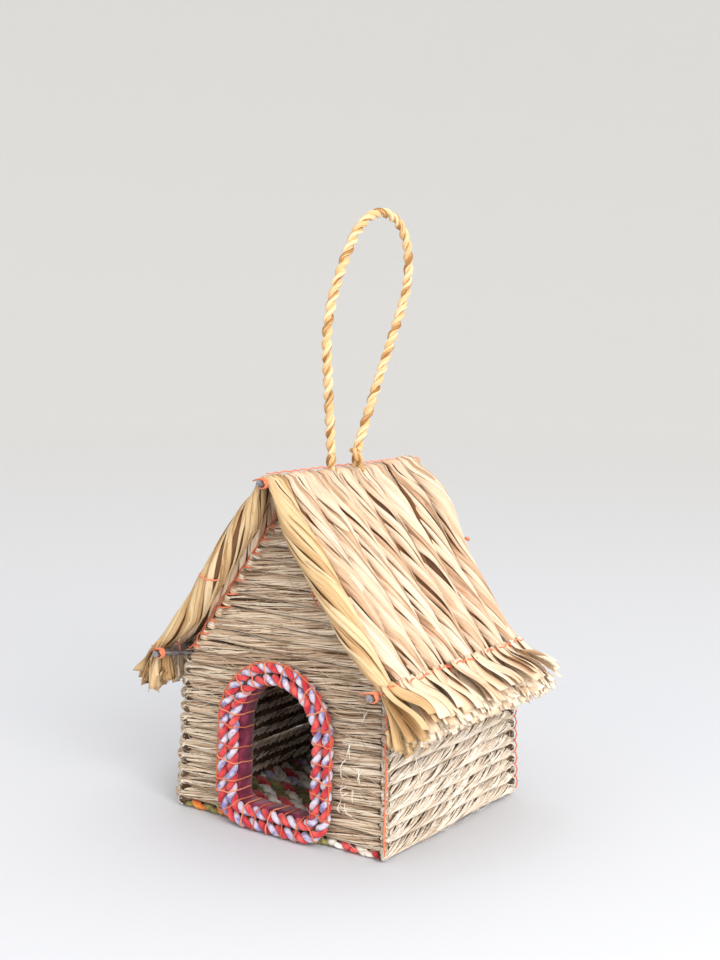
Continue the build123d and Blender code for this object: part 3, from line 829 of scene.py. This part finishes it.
def doorway(inset, step):
    """The doorway's outline on the wall as flat points, anticlockwise, and the ways inward."""
    half, sill = outline_half - inset, outline_sill + inset
    corner = outline_corner - inset
    runs, inwards = [], []

    def arc(middle, radius, first, last):
        angles = np.linspace(first, last, max(6, int(abs(last - first) * radius / step)), endpoint=False)
        turn = np.stack([np.cos(angles), np.sin(angles)], -1)
        runs.append(np.array(middle) + radius * turn)
        inwards.append(-turn)

    def straight(start, end, inward):
        count = max(3, int(math.dist(start, end) / step))
        runs.append(np.linspace(start, end, count, endpoint=False))
        inwards.append(np.tile(inward, (count, 1)))

    arc((0.0, door_crown), half, 0.0, math.pi)
    straight((-half, door_crown), (-half, sill + corner), (1.0, 0.0))
    arc((-half + corner, sill + corner), corner, math.pi, 1.5 * math.pi)
    straight((-half + corner, sill), (half - corner, sill), (0.0, 1.0))
    arc((half - corner, sill + corner), corner, 1.5 * math.pi, 2 * math.pi)
    straight((half, sill + corner), (half, door_crown), (-1.0, 0.0))
    return np.concatenate(runs), np.concatenate(inwards)


def on_wall(flat, stand):
    """Flat points on the front wall's face, as points in space."""
    return (wall_foot + flat[:, :1] * np.array([1.0, 0.0, 0.0]) + flat[:, 1:] * wall_up
            + np.reshape(stand, (-1, 1)) * wall_out)


cord = Fibres()
for round_inset in (-rag_diameter / 2, rag_diameter / 2):
    flat, _ = doorway(round_inset, 0.9)
    line = evenly(on_wall(flat, np.full(len(flat), rag_stand)), 0.9, closed=True)
    count = len(line)
    turns = round(count * 0.9 / rag_lay)
    for ply_number in (0, 1):
        angle = ply_number * math.pi + 2 * math.pi * turns * np.arange(count) / count + round_inset
        ply, radial = around(line, wall_out, angle, 1.62, 1.62, closed=True)
        cord.strand(ply, radial, 3.7, 3.5, 10, finish=ply_number, closed=True)
        for fold in range(4):
            swirl = 2 * math.pi * (fold / 4 + 9 * np.arange(count) / count) + rng.uniform(0, 1)
            crease, normal = around(ply, radial, swirl, 1.05, 1.05, closed=True)
            cord.strand(crease, normal, rng.uniform(1.6, 2.3), 1.45, 6, finish=ply_number, closed=True)
cord.piece("rag_cord", "house", "rag_rope", [rag_red, rag_print], ["door_rope"])

outer_flat, outer_in = doorway(0.0, 1.0)
stitches = Fibres()
# One stitch over the cord: distance inward from the outline and height above the wall.
stitch_shape = np.array([
    (-7.1, 4.6), (-6.5, 6.1), (-5.4, 7.3), (-3.5, 7.95), (-1.0, 7.3), (0.4, 7.0), (1.8, 7.4), (3.8, 7.9),
    (6.0, 6.2), (7.25, 3.0), (7.3, -1.0), (7.1, -6.0), (7.0, -9.4),
])
stitch_count = 27
for number in range(stitch_count):
    spot = (number / stitch_count + rng.uniform(-0.006, 0.006)) % 1.0 * len(outer_flat)
    slant = rng.uniform(-1.0, 2.6)
    shift = spot + np.linspace(-0.5, 0.5, len(stitch_shape)) * slant * 2
    index = shift.astype(int) % len(outer_flat)
    flat = outer_flat[index] + outer_in[index] * stitch_shape[:, :1]
    line = evenly(on_wall(flat, stitch_shape[:, 1]), 1.1)
    stitches.strand(line, wall_out + 0.01, 0.85, 0.8, 6)
running_flat, running_in = doorway(-6.6, 1.2)
keep = running_flat[:, 1] > 17.0
running_flat = running_flat[keep]
# The running line starts at the right sill, goes over the arch and ends at the left sill.
first = int(np.argmin(running_flat[:, 1] + 1000 * (running_flat[:, 0] < 0)))
running_flat = np.roll(running_flat, -first, axis=0)
wave = np.arange(len(running_flat)) * 1.2
running = on_wall(running_flat, 5.9 + 0.25 * np.sin(wave * 2 * math.pi / 9.0))
stitches.strand(running, wall_out + 0.01, 0.95, 0.9, 6)
stitches.piece("doorway_stitches", "house", "thread", [thread_orange], ["door_thread"])

# ---------------------------------------------------------------------------------------------
# The lining is a band of plum sari cloth, folded over a wire hoop inside the doorway and sewn
# under the rag cord. The hoop keeps the soft opening in shape.
# ---------------------------------------------------------------------------------------------
lining_cloth = cotton("sari_plum", (srgb(80, 18, 42), srgb(112, 32, 58), srgb(142, 50, 78)), 120.0)
# The folded band in section: distance inward from the outline and height above the wall.
lining_profile = np.array([
    (3.2, -0.2), (5.2, 0.6), (6.5, -0.2), (6.75, -2.0), (6.7, -4.5), (6.75, -7.0), (6.6, -9.0),
    (6.3, -10.9), (5.2, -12.0), (3.8, -12.0), (2.7, -10.9), (2.45, -9.0), (2.5, -6.0), (2.5, -3.0),
])
rows = []
path_flat, path_in = doorway(0.0, 1.6)
path_count = len(path_flat)
pleats = np.sin(np.arange(path_count) * 2 * math.pi / path_count * 31) * 0.22
for inset, stand in lining_profile:
    ruck = pleats * (1 if -9 < stand < 0 else 0.3) + rng.normal(0, 0.07, path_count)
    flat = path_flat + path_in * (inset - 0.2 + ruck)[:, None]
    rows.append(on_wall(flat, np.full(path_count, stand) + rng.normal(0, 0.08, path_count)))
grid = np.stack(rows, 1)
deep = len(lining_profile)
lining_mesh = bpy.data.meshes.new("door_lining_cloth")
faces = []
for i in range(path_count):
    here, beyond = i * deep, (i + 1) % path_count * deep
    faces += [(here + j, here + j + 1, beyond + j + 1, beyond + j) for j in range(deep - 1)]
lining_mesh.from_pydata([tuple(point) for point in grid.reshape(-1, 3) * mm], [], faces)
layer = lining_mesh.uv_layers.new(name="fibre")
for loop in lining_mesh.loops:
    layer.data[loop.index].uv = (loop.vertex_index % deep / deep * 0.9, loop.vertex_index // deep * 1.6)
lining_mesh.materials.append(lining_cloth)
lining_mesh.polygons.foreach_set("use_smooth", [True] * len(lining_mesh.polygons))
lining = bpy.data.objects.new("door_lining_cloth", lining_mesh)
bpy.context.collection.objects.link(lining)
bpy.ops.object.select_all(action="DESELECT")
lining.select_set(True)
bpy.context.view_layer.objects.active = lining
bpy.ops.object.mode_set(mode="EDIT")
bpy.ops.mesh.select_all(action="SELECT")
bpy.ops.mesh.normals_make_consistent(inside=False)
bpy.ops.object.mode_set(mode="OBJECT")
cloth = lining.modifiers.new("cloth", "SOLIDIFY")
cloth.thickness = 0.4 * mm
cloth.offset = 0.0
bpy.ops.object.modifier_apply(modifier="cloth")
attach(lining, "house")
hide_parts("door_lining")

# ---------------------------------------------------------------------------------------------
# The floor is a row of rag ropes side by side, two plies each, sewn flat into a mat. The rags
# change colour along the ropes where one strip is joined to the next.
# ---------------------------------------------------------------------------------------------
floor_ropes, floor_lay = 13, 20.0
floor_pitch = 2 * body_half_depth / floor_ropes
rag_olive = cotton("rag_olive", (srgb(88, 84, 40), srgb(120, 112, 58), srgb(156, 146, 86)), 90.0)
rag_orange = cotton("rag_orange", (srgb(196, 84, 30), srgb(222, 116, 42), srgb(232, 150, 70)), 90.0)
rag_cream = cotton("rag_cream", (srgb(206, 190, 170), srgb(238, 228, 214), srgb(250, 244, 234)), 90.0)
mat_finishes = [rag_olive, rag_orange, rag_red, rag_cream, rag_print]
# Each rope's runs: where along it a run starts, and the finishes of its two plies.
mat_plan = [
    [(-71, 0, 1), (14, 0, 0), (36, 2, 3)],
    [(-71, 1, 3), (-22, 3, 2), (20, 0, 3)],
    [(-71, 0, 4), (-12, 2, 3)],
    [(-71, 2, 3), (4, 0, 3)],
    [(-71, 3, 0)],
    [(-71, 0, 2), (10, 4, 2)],
    [(-71, 3, 4), (-5, 0, 1)],
    [(-71, 2, 3)],
    [(-71, 0, 3)],
    [(-71, 4, 2), (15, 3, 0)],
    [(-71, 3, 0)],
    [(-71, 1, 3)],
    [(-71, 0, 0), (20, 1, 0)],
]
mat = Fibres()
for number in range(floor_ropes):
    y = -body_half_depth + (number + 0.5) * floor_pitch
    x = np.arange(-70.5, 71.0, 1.5)
    line = points(x, y, 2.55)
    for ply_number in (0, 1):
        angle = ply_number * math.pi + 2 * math.pi * x / floor_lay + number * 0.9
        ply, radial = around(line, (0.0, 0.0, 1.0), angle, 2.75, 0.85)
        facing = unit(radial * np.array([1.0, 0.25, 1.0]))
        runs = mat_plan[number]
        breaks = [int(np.searchsorted(x, run[0])) for run in runs] + [len(x)]
        for run, low, high in zip(runs, breaks, breaks[1:]):
            high = min(high + 1, len(x))
            tone = run[1 + ply_number]
            mat.strand(ply[low:high], facing[low:high], 5.6, 3.1, 9, tone)
            for fold in range(2):
                swirl = np.full(high - low, fold * 2.2 + 0.4) + x[low:high] / 9.0
                crease, normal = around(ply[low:high], facing[low:high], swirl, 1.9, 0.75)
                mat.strand(crease, normal, 1.9, 1.3, 5, tone)
mat.piece("floor_mat", "house", "floor_rags", mat_finishes, ["floor"])

# ---------------------------------------------------------------------------------------------
# Orange thread sews the house together: down its corners, round the rafter wires, along the
# ridge and over the neck of every roll, and in a few turns round the bare ends of the rods.
# ---------------------------------------------------------------------------------------------
def corner_seam(side, face):
    height = np.arange(4.5, 97.0, 0.75)
    phase = (height - floor_thickness) / course_pitch
    dip = 0.45 * np.cos(2 * math.pi * phase) ** 3
    sway = wander(len(height), 12, 0.9)
    x = side * (body_half_width - wall_lean * height + 0.5 - dip)
    y = face * (body_half_depth - wall_lean * height + 0.5 - dip)
    aside = 3.5 if side == -1 else 0.0
    return points(x + sway * 0.5, y - face * aside - sway * 0.5 * side * face, height)


for side, side_name in ((-1, "left"), (1, "right")):
    for face, face_name in ((-1, "front"), (1, "back")):
        seam = Fibres()
        line = corner_seam(side, face)
        seam.strand(line, (side, face, 0.0), 0.95, 0.85, 6)
        for number in range(1, side_courses if side == 1 else 1):
            # A small hitch ties the seam off in the hollow between two courses.
            height = floor_thickness + number * course_pitch + rng.uniform(-0.4, 0.4)
            x = side * (body_half_width - wall_lean * height)
            y = face * (body_half_depth - wall_lean * height)
            span = np.linspace(-1, 1, 7)
            hitch = points(
                x + side * (0.1 - 1.5 * np.clip(span, 0, 1)),
                y + face * (0.1 + 1.5 * np.clip(span, -1, 0)),
                height + 0.5 * span,
            )
            seam.strand(hitch, (side, face, 0.0), 0.9, 0.9, 5)
        seam.piece(f"{face_name}_{side_name}_seam_stitches", "house", "thread", [thread_orange],
                   [f"{face_name}_{side_name}_corner_seam"])

for face, label in ((-1, "front_gable"), (1, "back_gable")):
    lacing = Fibres()
    for side in (-1, 1):
        steps = np.arange(0.0, 108.0, 0.9)
        rise = 96.5 + steps * math.sin(roof_angle)
        middle_x = (apex_height - rise) / math.tan(roof_angle)
        swing = 2 * math.pi * steps / 10.5
        x = side * (middle_x + 3.0 * np.cos(swing))
        y = face * (body_half_depth - wall_lean * rise - wall_reach + 6.0 * np.sin(swing))
        line = points(x, y, rise + 1.6 * np.cos(swing))
        hub = points(side * middle_x, face * (body_half_depth - wall_lean * rise - wall_reach), rise)
        below = rise < apex_height - 3
        lacing.strand(line[below], unit(line - hub)[below], 1.15, 1.0, 6)
        # A second thread runs on the face, down the ends of the courses.
        bulge = 0.7 * np.abs(np.cos(math.pi * (rise - floor_thickness) / course_pitch - math.pi / 2))
        y = face * (body_half_depth - wall_lean * rise + 0.3 + bulge)
        edge = points(side * (middle_x + 2.3 + 0.7 * np.cos(swing)), y, rise)
        lacing.strand(edge[below], (0.0, face, 0.05), 0.95, 0.9, 6)
    lacing.piece(f"{label}_lacing_thread", "house", "thread", [thread_orange], [f"{label}_lacing"])

ridge_line = Fibres()
y = np.arange(-roof_front + 4.0, roof_length - roof_front - 4.0, 0.9)
wave = 2 * math.pi * y / 8.5
height = ridge_height + 5.0 - 0.0105 * (y + roof_front) + 0.25 * np.cos(wave)
crest = points(0.5 * np.sin(wave / 2), y, height)
# The line is broken where the hanging rope's two turns pass under it.
hitch_room = 3.6
stretches = ((y[0] - 1, hitch_front - hitch_room), (hitch_front + hitch_room, hitch_back - hitch_room),
             (hitch_back + hitch_room, y[-1] + 1))
for low, high in stretches:
    part = (y > low) & (y < high)
    ridge_line.strand(crest[part], (0.0, 0.0, 1.0), 0.85, 0.8, 6)
ridge_line.piece("ridge_stitch_line", "house", "thread", [thread_orange], ["ridge_stitching"])

for side, label in ((-1, "left"), (1, "right")):
    line = Fibres()
    y = np.arange(-roof_front - 0.5, roof_length - roof_front + 0.5, 0.9)
    wave = 2 * math.pi * (y + roof_front) / roll_pitch
    lift = 7.3 - 1.0 * np.cos(wave) + wander(len(y), 20, 0.25)
    shift = 129.6 + 0.7 * np.sin(wave * 1.5) + wander(len(y), 16, 0.6)
    across = shift * slope_along[0] + lift * slope_out[0]
    down = ridge_height + shift * slope_along[2] + lift * slope_out[2]
    facing = (side * slope_out[0], 0.0, slope_out[2])
    line.strand(points(side * across, y, down), facing, 0.95, 0.9, 6)
    for number in range(1, roll_count):
        # A tight turn round the rod between each pair of rolls draws the necks in.
        middle = -roof_front + number * roll_pitch
        swing = full_turn(18)
        ring_d, ring_l = slope_length + 2.6 * np.cos(swing), 2.2 + 4.6 * np.sin(swing)
        turn_line = points(
            side * (ring_d * slope_along[0] + ring_l * slope_out[0]),
            middle + 0.9 * np.sin(swing),
            ridge_height + ring_d * slope_along[2] + ring_l * slope_out[2],
        )
        line.strand(turn_line, unit(turn_line - turn_line.mean(axis=0)), 1.1, 1.0, 5, closed=True)
    line.piece(f"{label}_eave_stitch_line", "house", "thread", [thread_orange], [f"{label}_eave_stitching"])

bindings = Fibres()
for x, z in ((0.0, ridge_height), (-eave_reach, eave_height), (eave_reach, eave_height)):
    for end, inner in ((-roof_front - 0.2, 1), (roof_length - roof_front + 0.2, -1)):
        swing = np.linspace(0, 2 * math.pi * 3.2, 56)
        wind_y = end - inner * 0.6 + inner * swing / 6.28 * 1.05
        wind = points(x + 2.75 * np.cos(swing), wind_y, z + 2.75 * np.sin(swing))
        hub = points(x, wind_y, z)
        bindings.strand(wind, unit(wind - hub), 1.1, 1.0, 6)
        if inner == -1:
            continue  # only the turns at the front end in a loose tail
        steps = np.linspace(0, 1, 10)
        reach = 9.9 if x > 0 else 7.7
        tail = points(
            x + 2.6 - reach * steps,
            end - inner * (0.8 + 0.6 * np.sin(steps * 3)),
            z + 2.4 - 1.5 * steps ** 2 + wander(10, 3, 0.5),
        )
        bindings.strand(tail, (0.0, -inner, 0.05), 0.9, 0.8, 5)
# One thread end hangs loose at the gable; a tie holds the first roll and a knot the last one.
loose = np.array([(27.0, -69.0, 152.0), (24.5, -73.0, 148.5), (23.5, -72.8, 144.0), (24.6, -72.8, 139.5),
                  (27.6, -72.6, 135.0)])
bindings.strand(evenly(loose, 1.0), (0.0, -1.0, 0.1), 0.9, 0.9, 5)
tie_flat = np.array([
    (-6.5, -81.0), (-5.0, -85.7), (-1.0, -88.4), (4.0, -87.3), (7.0, -83.6), (8.1, -80.5),
])
tie = ridge_top + np.outer(np.linspace(66.0, 76.4, 6), slope_along) + np.outer(tie_flat[:, 0], slope_out)
tie = tie * (-1.0, 1.0, 1.0) + np.outer(tie_flat[:, 1], (0.0, 1.0, 0.0))
bindings.strand(evenly(tie, 1.0), (-0.5, -1.0, 0.1), 0.9, 0.9, 5)
knot_middle = ridge_top + 60.0 * slope_along + 8.9 * slope_out + np.array([0.0, 60.0, 0.0])
for number in range(4):
    swing = full_turn(10)
    first, second = unit(rng.normal(size=3)), unit(rng.normal(size=3))
    knot = knot_middle + 1.3 * (np.outer(np.cos(swing), first) + np.outer(np.sin(swing), second))
    bindings.strand(knot, unit(knot - knot_middle), 1.0, 0.9, 5, closed=True)
bindings.piece("rod_bindings", "house", "thread", [thread_orange])

# ---------------------------------------------------------------------------------------------
# Rods and frame are bare steel wire, drawn and a little dull, with small rust specks near the
# cut ends. They stay as they were made; only their finish is set here.
# ---------------------------------------------------------------------------------------------
def wire_finish(name, bright, dull):
    """Drawn steel wire, patchy in tone and gloss."""
    material, tree, shader = new_finish(name, 0.5)
    spot = add_node(tree, "TexCoord").outputs["Object"]
    patches = add_node(tree, "TexNoise", {"Vector": spot, "Scale": 380.0, "Detail": 5.0}).outputs["Fac"]
    color = color_ramp(tree, patches, (srgb(112, 74, 52), dull, bright), (0.33, 0.35, 0.62))
    tree.links.new(color, shader.inputs["Base Color"])
    rough = add_node(tree, "MapRange", {"Value": patches, "To Min": 0.55, "To Max": 0.28})
    tree.links.new(rough.outputs["Result"], shader.inputs["Roughness"])
    shader.inputs["Metallic"].default_value = 0.9
    raise_surface(tree, shader, patches, 0.3, 0.1)
    return material


rod_steel = wire_finish("rod_steel", srgb(168, 168, 172), srgb(120, 118, 122))
frame_steel = wire_finish("frame_steel", srgb(150, 150, 154), srgb(96, 94, 98))
for name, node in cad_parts.items():
    if name.endswith("_rod"):
        node.data.materials.clear()
        node.data.materials.append(rod_steel)
    elif name.endswith(("_wire", "_frame", "_bracket", "_hoop")):
        node.data.materials.clear()
        node.data.materials.append(frame_steel)
